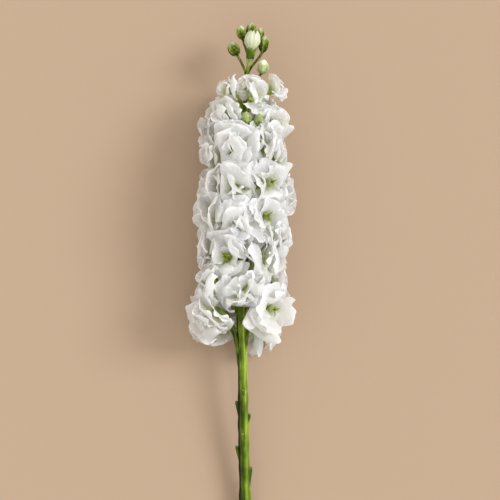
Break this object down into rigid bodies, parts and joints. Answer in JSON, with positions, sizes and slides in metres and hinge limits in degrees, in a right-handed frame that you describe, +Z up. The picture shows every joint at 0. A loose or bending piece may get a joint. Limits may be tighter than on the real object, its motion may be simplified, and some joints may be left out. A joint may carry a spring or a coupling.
{
  "type": "cut flower",
  "caption": "Cut stem of double white stock (Matthiola incana) lying flat: a dense spike of ruffled blooms with green buds at the tip over a bare green stem.",
  "frame": {"origin": "on the surface that the flower lies on, under the middle of the flower's box", "axes": "+Y along the stem from its cut end to its tip, +Z up from the surface, +X to the flower's right seen from above with the tip away from the viewer"},
  "size_m": [0.0825, 0.3898, 0.068],
  "materials": {
    "petal_white": "soft matt white petals, slightly translucent",
    "bud_white": "greenish white petals of a bud that is just opening",
    "stem_green": "fresh green stem with a dull, finely felted skin"
  },
  "bodies": {
    "root": {"stem": "stem_green", "opening_bud": "bud_white", "bloom_01": "petal_white", "bloom_02": "petal_white", "bloom_03": "petal_white", "bloom_04": "petal_white", "bloom_05": "petal_white", "bloom_06": "petal_white", "bloom_07": "petal_white", "bloom_08": "petal_white", "bloom_09": "petal_white", "bloom_10": "petal_white", "bloom_11": "petal_white", "bloom_12": "petal_white", "bloom_13": "petal_white", "bloom_14": "petal_white", "bloom_15": "petal_white", "bloom_16": "petal_white", "bloom_17": "petal_white", "bloom_18": "petal_white", "bloom_19": "petal_white", "bloom_20": "petal_white", "bloom_21": "petal_white", "bloom_22": "petal_white", "bloom_23": "petal_white", "bloom_24": "petal_white", "bloom_25": "petal_white", "bloom_26": "petal_white", "bloom_27": "petal_white", "bloom_28": "petal_white", "bloom_29": "petal_white", "bloom_30": "petal_white", "bloom_31": "petal_white", "bloom_32": "petal_white", "bloom_33": "petal_white", "bloom_34": "petal_white", "bloom_35": "petal_white", "bloom_36": "petal_white", "bloom_37": "petal_white", "bloom_38": "petal_white", "bloom_39": "petal_white", "bloom_40": "petal_white", "bloom_41": "petal_white"}
  },
  "joints": []
}
